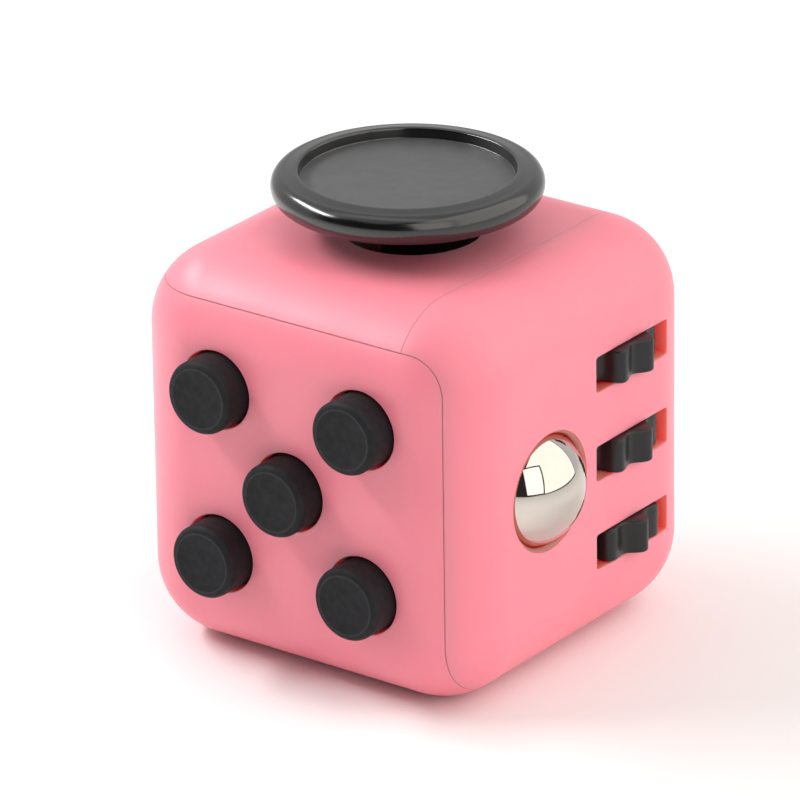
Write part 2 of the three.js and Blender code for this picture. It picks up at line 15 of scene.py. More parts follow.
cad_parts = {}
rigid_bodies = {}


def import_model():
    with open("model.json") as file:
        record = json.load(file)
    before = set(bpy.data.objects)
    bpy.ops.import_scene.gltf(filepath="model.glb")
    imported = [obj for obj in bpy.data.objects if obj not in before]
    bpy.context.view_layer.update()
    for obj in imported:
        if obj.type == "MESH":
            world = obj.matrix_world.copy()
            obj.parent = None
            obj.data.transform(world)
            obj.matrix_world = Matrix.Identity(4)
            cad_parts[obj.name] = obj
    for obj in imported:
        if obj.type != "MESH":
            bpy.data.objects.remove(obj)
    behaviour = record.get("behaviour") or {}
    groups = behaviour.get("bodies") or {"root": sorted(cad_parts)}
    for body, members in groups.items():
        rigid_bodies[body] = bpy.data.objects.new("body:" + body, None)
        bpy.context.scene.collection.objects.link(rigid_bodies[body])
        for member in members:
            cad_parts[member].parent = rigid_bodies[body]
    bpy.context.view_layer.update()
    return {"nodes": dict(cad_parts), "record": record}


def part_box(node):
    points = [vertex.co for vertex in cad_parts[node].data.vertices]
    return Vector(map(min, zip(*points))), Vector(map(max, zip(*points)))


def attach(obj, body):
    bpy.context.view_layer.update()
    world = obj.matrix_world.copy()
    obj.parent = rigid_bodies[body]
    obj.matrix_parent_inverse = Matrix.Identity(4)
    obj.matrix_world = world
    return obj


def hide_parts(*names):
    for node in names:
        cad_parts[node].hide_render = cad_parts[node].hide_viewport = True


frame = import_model()

# ---------------------------------------------------------------- sizes, in millimetres
MM = 0.001
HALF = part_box("top_cover")[1].z / 2 / MM
EDGE = 6.54
WALL = 1.7
GAP = 0.1
MAIN_JOINT = 0.02
TOP_JOINT = 0.012
SEAM_CORNER = 3.2
BUTTON_HOLE = 3.21
BALL_HOLE = 4.855
BALL_CLEARANCE = 0.12
BALL_LIP = 0.42
SLOT_LENGTH = 9.7
SLOT_HEIGHT = 2.91
SLOT_BACK = 13.2
STICK_HOLE = 5.5
STICK_COLLAR = 5.9
COLLAR_LIFT = 4.4
BUSH_HOLE = 3.4
ROCKER_OPENING = (4.9, 7.5)
DISH = (8.6, 6.6, 1.3)
GEAR_LOBES = 9
GEAR_RADIUS = 5.07
LOBE_DEPTH = 0.9
GEAR_ANGLES = {"upper": -26.7, "middle": -30.4, "lower": 0.7}
RIM_CREST = 1.3
RIM_UNDER = 1.23
ROCKER_TILT = 8
ROCKER_ARC = 7.4
SPOTS = ("top_left", "top_right", "center", "bottom_left", "bottom_right")

FLAT = HALF - EDGE
INNER = HALF - WALL
FAR = 2.5 * HALF


def box_mm(node):
    """Lowest and highest corner of a CAD node, in millimetres about the cube's centre."""
    lift = Vector((0, 0, HALF))
    return tuple(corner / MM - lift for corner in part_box(node))


def middle_mm(node):
    """The middle of that box."""
    low, high = box_mm(node)
    return (low + high) / 2


# ---------------------------------------------------------------- mesh helpers
def skin(rings, caps=False):
    """A closed mesh through rings of points. Equal points are merged."""
    bm = bmesh.new()
    rows = [[bm.verts.new(point) for point in ring] for ring in rings]
    for low, high in zip(rows, rows[1:]):
        for i in range(len(low)):
            j = (i + 1) % len(low)
            bm.faces.new((low[i], low[j], high[j], high[i]))
    if caps:
        bm.faces.new(rows[0])
        bm.faces.new(rows[-1])
    bmesh.ops.remove_doubles(bm, verts=bm.verts, dist=1e-5)
    bmesh.ops.recalc_face_normals(bm, faces=bm.faces)
    return to_mesh(bm)


def to_mesh(bm):
    """The mesh of a bmesh, which is freed."""
    mesh = bpy.data.meshes.new("shape")
    bm.to_mesh(mesh)
    bm.free()
    return mesh


def aimed(axis, across, up, along):
    """A point given by two numbers across an axis and one along it."""
    return {"x": (along, across, up), "y": (up, along, across), "z": (across, up, along)}[axis]


def lathe(axis, profile, centre=(0, 0, 0), steps=96):
    """A profile of (radius, height) points turned about an axis through centre."""
    turns = [2 * math.pi * i / steps for i in range(steps)]
    rings = []
    for radius, height in profile:
        ring = [aimed(axis, radius * math.cos(a), radius * math.sin(a), height) for a in turns]
        rings.append([Vector(point) + Vector(centre) for point in ring])
    return skin(rings)


def arc(centre_r, centre_h, radius, start, end, steps=8):
    """(radius, height) points of a circular arc, with its angles in degrees."""
    angles = [math.radians(start + (end - start) * i / steps) for i in range(steps + 1)]
    return [(centre_r + radius * math.cos(a), centre_h + radius * math.sin(a)) for a in angles]


def cylinder(axis, radius, low, high, centre=(0, 0, 0), steps=96):
    return lathe(axis, [(0, low), (radius, low), (radius, high), (0, high)], centre, steps)


def prism(axis, outline, low, high):
    """An outline of (across, up) points carried along an axis."""
    return skin([[aimed(axis, a, b, end) for a, b in outline] for end in (low, high)], caps=True)


def rounded_outline(half_a, half_b, radius, centre=(0, 0), steps=6):
    """A rectangle with round corners, as points that go round anticlockwise."""
    points = []
    for quarter, (way_a, way_b) in enumerate([(1, 1), (-1, 1), (-1, -1), (1, -1)]):
        corner = (centre[0] + way_a * (half_a - radius), centre[1] + way_b * (half_b - radius))
        points += arc(*corner, radius, 90 * quarter, 90 * quarter + 90, steps)
    return points


def rounded_box(half, radius, steps):
    """A cube with round edges and corners."""
    flat = half - radius
    quarter = [math.pi / 2 * i / steps for i in range(steps + 1)]
    rows = [(-1, angle - math.pi / 2) for angle in quarter] + [(1, angle) for angle in quarter]
    corners = [(1, 1), (-1, 1), (-1, -1), (1, -1)]
    rings = []
    for side, latitude in rows:
        ring = []
        for turn, (way_x, way_y) in enumerate(corners):
            for angle in quarter:
                longitude = angle + turn * math.pi / 2
                reach = radius * math.cos(latitude)
                ring.append((way_x * flat + reach * math.cos(longitude),
                             way_y * flat + reach * math.sin(longitude),
                             side * flat + radius * math.sin(latitude)))
        rings.append(ring)
    bm = bmesh.new()
    bm.from_mesh(skin(rings))
    for side in (-1, 1):
        top = [v for v in bm.verts if abs(v.co.z - side * half) < 1e-4]
        bmesh.ops.contextual_create(bm, geom=top)
    bmesh.ops.recalc_face_normals(bm, faces=bm.faces)
    return to_mesh(bm)


def combine(body, operation, *others):
    """A mesh after boolean DIFFERENCE, UNION or INTERSECT with each of the others in turn."""
    scene = bpy.context.scene.collection.objects
    made = [bpy.data.objects.new("shape", mesh) for mesh in (body, *others)]
    for thing in made:
        scene.link(thing)
    for tool in made[1:]:
        modifier = made[0].modifiers.new("combine", "BOOLEAN")
        modifier.operation = operation
        modifier.solver = "MANIFOLD"
        modifier.object = tool
    depsgraph = bpy.context.evaluated_depsgraph_get()
    result = bpy.data.meshes.new_from_object(made[0].evaluated_get(depsgraph))
    for thing in made:
        bpy.data.objects.remove(thing)
    return result


def clamp(point):
    """The nearest point of the cube that the rounded cube's edge radius is laid round."""
    return Vector(max(-FLAT, min(FLAT, value)) for value in point)


def outward(point):
    """The rounded cube's normal at a point on its surface."""
    return (Vector(point) - clamp(point)).normalized()


def on_face(axis, way, across, up):
    """The point of the rounded cube's surface that lies over (across, up), seen along an axis."""
    beyond = [max(abs(value) - FLAT, 0) for value in (across, up)]
    height = FLAT + math.sqrt(EDGE ** 2 - beyond[0] ** 2 - beyond[1] ** 2)
    return Vector(aimed(axis, across, up, way * height))


def sweep(path, section):
    """A section of (out, up) points carried round a closed path on the cube's surface.
    Up is the surface's normal, and out points away from the middle of the path."""
    middle = sum(path, Vector()) / len(path)
    rings = []
    for i, point in enumerate(path):
        up = outward(point)
        tangent = (path[(i + 1) % len(path)] - path[i - 1]).normalized()
        out = up.cross(tangent).normalized()
        if out.dot(point - middle) < 0:
            out.negate()
        rings.append([point + out * a + up * b for a, b in section])
    return skin(rings + rings[:1])


def mouth(axis, way, outline, radius):
    """The cutter that rounds the edge of a hole with this outline in the cube's surface."""
    path = [on_face(axis, way, a, b) for a, b in outline]
    section = [(radius, 0.15), (-0.2, 0.15), (-0.2, -radius)]
    section += arc(radius, -radius, radius, 180, 90, 5)
    return sweep(path, section)


def seam(path, gap, radius):
    """The cutter that opens a joint line on the surface and rounds both of its edges."""
    side = gap / 2
    right = arc(side + radius, -radius, radius, 180, 90, 4)
    left = [(-a, b) for a, b in reversed(right)]
    section = right + [(side + radius, 0.1), (-side - radius, 0.1)] + left
    rings = []
    for i, point in enumerate(path):
        up = outward(point)
        tangent = (path[(i + 1) % len(path)] - path[i - 1]).normalized()
        out = up.cross(tangent).normalized()
        rings.append([point + out * a + up * b for a, b in section])
    return skin(rings + rings[:1])


# ---------------------------------------------------------------- finished pieces
def smooth(mesh, sharp=38):
    """Smooth shading, broken at edges that are sharper than this many degrees."""
    mesh.polygons.foreach_set("use_smooth", [True] * len(mesh.polygons))
    mesh.set_sharp_from_angle(angle=math.radians(sharp))


def follow_cube(mesh):
    """Gives the faces that lie on the rounded cube its exact normals, so that cuts don't dent
    them. Faces inside a hole or a joint get the second material, the redder copy of the plastic
    with its painted red glow, and the thumb dish doesn't."""
    count = len(mesh.vertices)
    points = np.empty(count * 3)
    mesh.vertices.foreach_get("co", points)
    points = points.reshape(-1, 3)
    away = points - np.clip(points, -FLAT, FLAT)
    distance = np.linalg.norm(away, axis=1)
    on_surface = np.abs(distance - EDGE) < 0.02
    exact = away / np.maximum(distance, 1e-9)[:, None]
    normals = [corner.vector.copy() for corner in mesh.corner_normals]
    for face in mesh.polygons:
        if face.center.z < DISH[2] + 0.1 - HALF and face.normal.z < -0.2:
            face.material_index = 0
        elif abs((face.center - clamp(face.center)).length - EDGE) > 0.04:
            face.material_index = 1
        elif outward(face.center).dot(face.normal) < 0.8:
            face.material_index = 1
        if not all(on_surface[v] for v in face.vertices):
            continue
        for loop, vertex in zip(face.loop_indices, face.vertices):
            if Vector(exact[vertex]).dot(face.normal) > 0.9:
                normals[loop] = Vector(exact[vertex])
    mesh.normals_split_custom_set(normals)


def finish_piece(name, mesh, body, materials, replaces=(), sharp=38, cube_faces=False):
    """Turns a mesh into a named piece that rides on a body and stands for CAD nodes."""
    smooth(mesh, sharp)
    mesh.materials.clear()
    for material in materials:
        mesh.materials.append(material)
    if cube_faces:
        follow_cube(mesh)
    mesh.transform(Matrix.Diagonal((MM, MM, MM, 1)) @ Matrix.Translation((0, 0, HALF)))
    mesh.name = name
    thing = bpy.data.objects.new(name, mesh)
    bpy.context.scene.collection.objects.link(thing)
    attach(thing, body)
    if replaces:
        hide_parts(*replaces)
    return thing


# ---------------------------------------------------------------- materials
def rgb(red, green, blue):
    """A display colour of 0 to 255 as the linear colour that the shader takes."""
    def linear(value):
        value /= 255
        return value / 12.92 if value < 0.04045 else ((value + 0.055) / 1.055) ** 2.4
    return (linear(red), linear(green), linear(blue), 1)


def finish(name, colour, shade, roughness, spread, patches, grain, relief, **sockets):
    """A Principled surface. Colour drifts between two shades over patches (mm), roughness varies by
    spread at twice that fineness, and a grain (mm) stands relief (mm) high."""
    material = bpy.data.materials.new(name)
    material.use_nodes = True
    tree = material.node_tree
    shader = tree.nodes["Principled BSDF"]
    for socket, value in sockets.items():
        shader.inputs[socket.replace("_", " ")].default_value = value
    place = tree.nodes.new("ShaderNodeTexCoord")

    def noise(size, detail):
        node = tree.nodes.new("ShaderNodeTexNoise")
        node.inputs["Scale"].default_value = 1 / (size * MM)
        node.inputs["Detail"].default_value = detail
        tree.links.new(place.outputs["Object"], node.inputs["Vector"])
        return node.outputs["Fac"]

    mix = tree.nodes.new("ShaderNodeMix")
    mix.data_type = "RGBA"
    mix.inputs["A"].default_value = colour
    mix.inputs["B"].default_value = shade
    tree.links.new(noise(patches, 4), mix.inputs["Factor"])
    tree.links.new(mix.outputs["Result"], shader.inputs["Base Color"])

    rough = tree.nodes.new("ShaderNodeMapRange")
    rough.inputs["From Min"].default_value = 0.3
    rough.inputs["From Max"].default_value = 0.7
    rough.inputs["To Min"].default_value = roughness - spread
    rough.inputs["To Max"].default_value = roughness + spread
    tree.links.new(noise(patches / 2, 6), rough.inputs["Value"])
    tree.links.new(rough.outputs["Result"], shader.inputs["Roughness"])

    bump = tree.nodes.new("ShaderNodeBump")
    bump.inputs["Strength"].default_value = 1
    bump.inputs["Distance"].default_value = relief * MM
    tree.links.new(noise(grain, 3), bump.inputs["Height"])
    tree.links.new(bump.outputs["Normal"], shader.inputs["Normal"])
    return material


pink = finish(
    "pink_shell", rgb(249, 142, 158), rgb(245, 135, 152), 0.4, 0.03, 9, 0.35, 0.001,
    Subsurface_Weight=0.3, Subsurface_Radius=(1.0, 0.2, 0.18), Subsurface_Scale=0.0016,
    Specular_IOR_Level=0.5)
# A redder copy of the shell plastic for the walls of holes and joints: painted red glow of light
# through the plastic in these recesses, on top of its real subsurface scattering.
painted_glow_pink = finish(
    "pink_painted_glow", rgb(255, 128, 118), rgb(254, 120, 112), 0.4, 0.04, 3, 0.3, 0.002,
    Subsurface_Weight=1.0, Subsurface_Radius=(1.0, 0.08, 0.07), Subsurface_Scale=0.012,
    Specular_IOR_Level=0.3)
rubber = finish(
    "button_rubber", rgb(15, 15, 18), rgb(25, 25, 30), 0.68, 0.1, 1.4, 0.12, 0.012,
    Specular_IOR_Level=0.3)
# Lighter speckled rubber for a thin ring at the edge of each button's face: a painted edge
# highlight, with dust specks in it.
dust_and_highlight_rubber = finish(
    "dust_and_highlight_rubber", rgb(14, 14, 17), rgb(52, 52, 56), 0.62, 0.1, 0.3, 0.1, 0.014,
    Specular_IOR_Level=0.3)
dome_rubber = finish(
    "dome_rubber", rgb(97, 97, 101), rgb(84, 84, 88), 0.6, 0.06, 1.5, 0.15, 0.006)
rim_gloss = finish(
    "rim_gloss", rgb(9, 9, 11), rgb(14, 14, 16), 0.18, 0.02, 2.5, 0.3, 0.001,
    Specular_IOR_Level=0.9)
disc_satin = finish(
    "disc_satin", rgb(68, 68, 69), rgb(79, 79, 79), 0.4, 0.05, 2.2, 0.16, 0.006,
    Specular_IOR_Level=0.55)
gear_plastic = finish(
    "gear_plastic", rgb(17, 18, 20), rgb(26, 27, 29), 0.36, 0.06, 1.2, 0.14, 0.006,
    Specular_IOR_Level=0.45)
switch_gloss = finish(
    "switch_gloss", rgb(20, 20, 22), rgb(27, 27, 30), 0.3, 0.05, 2.0, 0.2, 0.003)
chrome = finish(
    "ball_chrome", rgb(212, 204, 196), rgb(204, 196, 188), 0.05, 0.015, 1.5, 0.4, 0.0003,
    Metallic=1)
inner_plastic = finish(
    "inner_plastic", rgb(40, 41, 44), rgb(52, 53, 56), 0.55, 0.08, 2.0, 0.2, 0.008)
spring_steel = finish(
    "spring_steel", rgb(182, 184, 190), rgb(150, 152, 158), 0.3, 0.08, 0.6, 0.1, 0.002,
    Metallic=1)
screw_steel = finish(
    "screw_steel", rgb(196, 196, 200), rgb(160, 160, 166), 0.36, 0.1, 0.5, 0.08, 0.003,
    Metallic=1)
brass = finish(
    "brass", rgb(214, 170, 92), rgb(190, 146, 72), 0.32, 0.08, 0.8, 0.12, 0.002,
    Metallic=1)

SLOT_MATERIALS = {
    "body_plastic": pink, "button_rubber": rubber, "dome_rubber": dome_rubber,
    "gloss_black": rim_gloss, "gear_plastic": gear_plastic, "ball_chrome": chrome,
    "inner_plastic": inner_plastic, "spring_steel": spring_steel, "screw_steel": screw_steel,
    "brass": brass,
}

# ---------------------------------------------------------------- housing
SEAM_SIDE = box_mm("main_shell")[1].x
SEAM_HEIGHT = box_mm("main_shell")[1].z
TOP_COVER_EDGE = box_mm("top_cover")[1].x
button_middles = [middle_mm(f"button_{spot}") for spot in SPOTS]
ball_middle = middle_mm("ball")
axle_middle = middle_mm("gear_axle")
gear_heights = {level: middle_mm(f"gear_wheel_{level}").z for level in GEAR_ANGLES}


def circle(radius, centre=(0, 0), steps=96):
    return arc(*centre, radius, 0, 360 * (steps - 1) / steps, steps - 1)


def slot_outline(height):
    return rounded_outline(SLOT_LENGTH / 2, SLOT_HEIGHT / 2, 0.22, (axle_middle.y, height))


def main_region(offset):
    """The space of the main shell: everything left of and below its two joint planes."""
    right = SEAM_SIDE + offset
    top = SEAM_HEIGHT + offset
    corner = SEAM_CORNER + offset
    outline = arc(right - corner, top - corner, corner, 0, 90, 16)
    outline += [(-FAR, top), (-FAR, -FAR), (right, -FAR)]
    return prism("y", [(b, a) for a, b in outline], -FAR, FAR)


def main_joint():
    """The middle of the gap round the main shell, as a closed path on the cube's surface."""
    right = SEAM_SIDE + GAP / 2
    top = SEAM_HEIGHT + GAP / 2
    corner = SEAM_CORNER + GAP / 2
    top_round = math.sqrt(EDGE ** 2 - (top - FLAT) ** 2)
    side_round = math.sqrt(EDGE ** 2 - (right - FLAT) ** 2)
    front = [(-FLAT - top_round, 0.0, top)]
    front += [(x, y, top) for x, y in arc(-FLAT, -FLAT, top_round, 180, 270, 14)]
    trace = [(x, top) for x in np.linspace(-FLAT, right - corner, 30)[1:]]
    trace += arc(right - corner, top - corner, corner, 90, 0, 22)[1:]
    trace += [(right, z) for z in np.linspace(top - corner, -FLAT, 30)[1:]]
    front += [tuple(on_face("y", -1, z, x)) for x, z in trace]
    front += [(right, y, z) for y, z in arc(-FLAT, -FLAT, side_round, 180, 270, 14)[1:]]
    front += [(right, 0.0, -FLAT - side_round)]
    back = [(x, -y, z) for x, y, z in reversed(front[1:-1])]
    return [Vector(point) for point in front + back]


def top_joint():
    """The middle of the gap between the top and right covers, carried all round the cube."""
    x = TOP_COVER_EDGE + GAP / 2
    side = FLAT + math.sqrt(EDGE ** 2 - (x - FLAT) ** 2)
    outline = rounded_outline(side, side, side - FLAT, steps=20)
    return [Vector((x, y, z)) for y, z in outline]


def shell_inside(node):
    """What the CAD node has behind its wall: screw bosses, backing and locating rims."""
    return combine(node_mesh(node), "INTERSECT", rounded_box(INNER + 0.05, EDGE - WALL + 0.05, 6))


def node_mesh(node):
    """A copy of a CAD node's mesh in millimetres about the cube's centre, with shared corners."""
    bm = bmesh.new()
    bm.from_mesh(frame["nodes"][node].data)
    for vertex in bm.verts:
        vertex.co = vertex.co / MM - Vector((0, 0, HALF))
    bmesh.ops.remove_doubles(bm, verts=bm.verts, dist=1e-4)
    return to_mesh(bm)


def shell(node, keep, drop, cutters):
    """One part of the housing: wall inside keep and outside drop, cut, with its inside added."""
    wall = combine(rounded_box(HALF, EDGE, 16), "DIFFERENCE", rounded_box(INNER, EDGE - WALL, 8))
    wall = combine(wall, "INTERSECT", *keep)
    wall = combine(wall, "DIFFERENCE", *drop, *cutters)
    return combine(wall, "UNION", shell_inside(node))


def thumb_dish():
    """The cutter for the soft-edged hollow in the bottom."""
    half_length, half_width, depth = DISH
    soft = 0.07
    rings = []
    for share in np.linspace(0, 1.14, 30):
        rise = soft * math.log1p(math.exp(depth * (1 - share ** 2) / soft))
        turns = [2 * math.pi * i / 96 for i in range(96)]
        rings.append([(half_length * share * math.cos(a), half_width * share * math.sin(a),
                       -HALF + rise - 0.0004) for a in turns])
    rings.append([(x, y, -HALF - 1) for x, y, z in rings[-1]])
    rings.append([(0, 0, -HALF - 1)] * 96)
    return skin(rings)


def make_housing():
    joint = seam(main_joint(), MAIN_JOINT, 0.08)
    wide, tall = ROCKER_OPENING
    rocker_hole = rounded_outline(tall, wide, 0.5)
    main_cutters = [
        joint, thumb_dish(),
        cylinder("x", BUSH_HOLE, -FAR, -INNER + 1), mouth("x", -1, circle(BUSH_HOLE), 0.15),
        prism("y", rocker_hole, INNER - 1, FAR), mouth("y", 1, rocker_hole, 0.25),
    ]
    for middle in button_middles:
        hole = circle(BUTTON_HOLE, (middle.z, middle.x))
        main_cutters.append(cylinder("y", BUTTON_HOLE, -FAR, -INNER + 0.5, (middle.x, 0, middle.z)))
        main_cutters.append(mouth("y", -1, hole, 0.13))
    finish_piece(
        "main_shell_body",
        shell("main_shell", [main_region((GAP - MAIN_JOINT) / 2)], [], main_cutters), "housing",
        [pink, painted_glow_pink], ["main_shell"], cube_faces=True)

    clear = main_region((GAP + MAIN_JOINT) / 2)
    edge = seam(top_joint(), TOP_JOINT, 0.05)
    beside = prism("x", [(-FAR, -FAR), (FAR, -FAR), (FAR, FAR), (-FAR, FAR)],
                   TOP_COVER_EDGE + (GAP + TOP_JOINT) / 2, FAR)
    over = prism("x", [(-FAR, -FAR), (FAR, -FAR), (FAR, FAR), (-FAR, FAR)],
                 -FAR, TOP_COVER_EDGE + (GAP - TOP_JOINT) / 2)
    ball_radius = box_mm("ball")[1].z
    seat = ball_radius + BALL_CLEARANCE
    lip = math.degrees(math.asin((HALF - BALL_LIP - ball_middle.x) / seat))
    ball_seat = lathe("x", [
        (0, ball_middle.x - 1), (seat, ball_middle.x - 1),
        *arc(0, ball_middle.x, seat, 0, lip, 8), (BALL_HOLE, HALF), (BALL_HOLE, FAR),
        (0, FAR)], (0, ball_middle.y, 0), 128)
    right_cutters = [
        joint, edge, ball_seat,
        mouth("x", 1, circle(BALL_HOLE, (ball_middle.y, 0), 128), 0.1)]
    for height in gear_heights.values():
        right_cutters.append(prism("x", slot_outline(height), SLOT_BACK, FAR))
        right_cutters.append(mouth("x", 1, slot_outline(height), 0.1))
    finish_piece(
        "right_cover_body", shell("right_cover", [beside], [clear], right_cutters), "housing",
        [pink, painted_glow_pink], ["right_cover"], cube_faces=True)

    stick = middle_mm("joystick_stem")
    foot = box_mm("joystick_stem")[0].z + COLLAR_LIFT
    collar = cylinder("z", STICK_COLLAR, foot, INNER + 0.5, (stick.x, stick.y, 0))
    top = combine(shell("top_cover", [over], [clear], [joint, edge]), "UNION", collar)
    top = combine(top, "DIFFERENCE", cylinder("z", STICK_HOLE, 0, FAR),
                  mouth("z", 1, circle(STICK_HOLE), 0.08))
    finish_piece(
        "top_cover_body", top, "housing", [pink, painted_glow_pink], ["top_cover"],
        cube_faces=True)


# ---------------------------------------------------------------- front: push buttons
def make_button(spot):
    low, high = box_mm(f"button_{spot}")
    middle = (low + high) / 2
    flange = (high.x - low.x) / 2
    radius = flange - 0.6
    rim = 0.55
    crown = 0.12
    face = low.y + crown
    profile = [
        (0, low.y + 0.06), *[(share * (radius - rim), face - 0.06 - crown * 0.5 * share ** 4)
                             for share in (0.3, 0.6, 0.8, 0.9, 0.96)],
        *arc(radius - rim, low.y + rim, rim, -90, 0, 12)[1:],
        (radius, -INNER - 0.3), (radius + 0.02, -INNER + 0.02), (radius + 0.1, -INNER + 0.15),
        *arc(flange - 0.12, -INNER + 0.27, 0.12, -90, 0, 4),
        (flange, -INNER + 0.75), (1, -INNER + 0.75),
        *arc(0.8, high.y - 0.2, 0.2, 0, 90, 4), (0, high.y),
    ]
    thing = finish_piece(
        f"button_{spot}_cap", lathe("y", profile, (middle.x, 0, middle.z), 96),
        f"button_{spot}", [rubber, dust_and_highlight_rubber], [f"button_{spot}"])
    # The ring of front faces at the cap's edge gets the second material: a painted edge highlight
    # with dust specks.
    for face in thing.data.polygons:
        place = face.center / MM - Vector((0, 0, HALF))
        across = Vector((place.x - middle.x, place.z - middle.z)).length
        if face.normal.y < -0.7 and abs(across - (radius - rim)) < 0.1:
            face.material_index = 1


# ---------------------------------------------------------------- right: ball and gear wheels
def make_ball():
    radius = (box_mm("ball")[1].z - box_mm("ball")[0].z) / 2
    profile = arc(0, 0, radius, -90, 90, 72)
    mesh = lathe("z", profile, ball_middle, 144)
    finish_piece("ball_polished", mesh, "ball", [chrome], ["ball"], sharp=60)


def gear_radius(angle):
    crest = abs(math.cos(GEAR_LOBES * angle / 2)) ** 2.3
    return GEAR_RADIUS - LOBE_DEPTH * (1 - crest)


def make_gear(level):
    low, high = box_mm(f"gear_wheel_{level}")
    tilt = math.radians(GEAR_ANGLES[level])
    steps = GEAR_LOBES * 24
    turns = [2 * math.pi * i / steps for i in range(steps)]
    soft = 0.22

    def ring(inset, height):
        return [(axle_middle.x + (gear_radius(a) - inset) * math.cos(a + tilt),
                 axle_middle.y + (gear_radius(a) - inset) * math.sin(a + tilt), height)
                for a in turns]

    def bore(radius, height):
        return [(axle_middle.x + radius * math.cos(a + tilt),
                 axle_middle.y + radius * math.sin(a + tilt), height) for a in turns]

    lower = [ring(soft - a, low.z + soft + b) for a, b in arc(0, 0, soft, -90, 0, 5)]
    upper = [ring(soft - a, high.z - soft + b) for a, b in arc(0, 0, soft, 0, 90, 5)]
    dish = 0.18
    rings = [
        bore(0.9, low.z + dish), bore(3.0, low.z + dish), bore(3.25, low.z), *lower,
        *upper, bore(3.25, high.z), bore(3.0, high.z - dish), bore(0.9, high.z - dish),
        bore(0.9, low.z + dish)]
    finish_piece(
        f"gear_{level}_wheel", skin(rings), f"gear_{level}", [gear_plastic],
        [f"gear_wheel_{level}"], sharp=34)


# ---------------------------------------------------------------- top: joystick
def make_joystick():
    low, high = box_mm("joystick_cap")
    middle = (low + high) / 2
    stem = box_mm("joystick_stem")[1].z
    level = high.z - RIM_CREST
    ring = (high.x - low.x) / 2 - 1
    floor = level + 0.41
    under = level - 0.5
    drop = math.degrees(math.asin((level - under) / RIM_UNDER))

    def quarter(thickness, start, end, steps):
        return [(ring + r, level + h * thickness) for r, h in arc(0, 0, 1, start, end, steps)]

    recess = [
        (ring - 1.0, level + 1.298), (ring - 1.08, level + 1.285), (ring - 1.14, level + 1.25),
        (ring - 1.18, level + 1.19), (ring - 1.2, level + 1.1), (ring - 1.23, level + 0.56),
        *arc(ring - 1.33, floor + 0.1, 0.1, 0, -90, 4)]
    profile = [
        (0, stem + 0.1), (1.4, stem + 0.1), (1.4, low.z), (2.1, low.z),
        *arc(2.13, low.z + 0.12, 0.12, -90, 0, 4), (2.25, under - 0.4), (2.32, under - 0.15),
        (2.6, under), *quarter(RIM_UNDER, -180 + drop, 0, 26), *quarter(1.14, 0, 90, 20)[1:],
        (ring - 0.35, level + 1.2), (ring - 0.7, level + 1.262), (ring - 0.9, level + 1.292),
        *recess, (ring - 1.9, floor), (0, floor),
    ]
    thing = finish_piece(
        "joystick_disc", lathe("z", profile, (middle.x, middle.y, 0), 160), "joystick",
        [rim_gloss, disc_satin], ["joystick_cap"], sharp=50)
    for face in thing.data.polygons:
        across = Vector((face.center.x / MM - middle.x, face.center.y / MM - middle.y)).length
        if face.normal.z > 0.9 and across < ring - 1.3:
            face.material_index = 1


# ---------------------------------------------------------------- left: spin dial
def make_dial():
    low, high = box_mm("spin_dial")
    radius = high.z
    front = -HALF - 1.7
    back = -HALF - 0.3
    profile = [
        (0, front + 0.3), (radius - 2.5, front + 0.3),
        *arc(radius - 2.5, front + 0.15, 0.15, 90, 60, 3)[1:],
        (radius - 1.95, front + 0.06), *arc(radius - 1.8, front + 0.16, 0.16, -120, -90, 3),
        *arc(radius - 0.6, front + 0.6, 0.6, -90, 0, 10),
        *arc(radius - 0.2, back - 0.2, 0.2, 0, 90, 4),
        (2.4, back), (2.4, high.x), (0.7, high.x), (0.7, -HALF), (0, -HALF),
    ]
    nub_height = 5.6
    nub = lathe("x", [
        (0, low.x), *arc(0.8, low.x + 0.5, 0.5, -90, -20, 8), (1.35, front + 0.1),
        (1.6, front + 0.32), (1.6, front + 0.6), (0, front + 0.6)], (0, 0, nub_height), 64)
    disc = lathe("x", profile, (0, 0, 0), 144)
    finish_piece(
        "spin_dial_disc", combine(disc, "UNION", nub), "dial", [switch_gloss],
        ["spin_dial"])


# ---------------------------------------------------------------- back: rocker switch
def make_rocker():
    low, high = box_mm("rocker_switch")
    pivot = middle_mm("rocker_pivot_pin")
    rise = math.tan(math.radians(ROCKER_TILT))
    valley = 3.7
    a, b, c = 1 + rise ** 2, 2 * valley * rise, valley ** 2 - ROCKER_ARC ** 2
    end = (-b + math.sqrt(b * b - 4 * a * c)) / (2 * a)
    top = math.degrees(math.atan2(valley + rise * end, end))
    foot = math.degrees(math.asin(1 / ROCKER_ARC))
    side = arc(0, 0, ROCKER_ARC, foot, top, 18)
    right = [(2.2, -1.6), *side]
    outline = right + [(0, valley)] + [(-x, y) for x, y in reversed(right)]
    bm = bmesh.new()
    bm.from_mesh(prism("x", [(y, x) for x, y in outline], low.x, high.x))
    rim = [edge for edge in bm.edges if edge.calc_face_angle(0) > math.radians(25)]
    bmesh.ops.bevel(bm, geom=rim, offset=0.22, segments=4, profile=0.5, affect="EDGES",
                    clamp_overlap=True)
    mesh = to_mesh(bm)
    tilt = Matrix.Rotation(math.radians(ROCKER_TILT), 4, "X")
    mesh.transform(Matrix.Translation(pivot) @ tilt)
    hole = cylinder("x", 0.78, -FAR, FAR, tuple(pivot), 32)
    finish_piece(
        "rocker_paddle", combine(mesh, "DIFFERENCE", hole), "rocker",
        [switch_gloss], ["rocker_switch"], sharp=30)


# ---------------------------------------------------------------- inside
def dress_nodes():
    """Gives every CAD node that still shows the finish of its slot in the record."""
    slots = {row["node"]: row["material_slot"] for row in frame["record"]["subparts"]}
    for name, node in frame["nodes"].items():
        node.data.materials.clear()
        node.data.materials.append(SLOT_MATERIALS[slots[name]])


# ---------------------------------------------------------------- studio
AZIMUTH, ELEVATION, ROLL = 36.71, 23.172, -0.815
DISTANCE = 606.017
SLIDE = (-1.205, 1.799)
LENS = 346.4

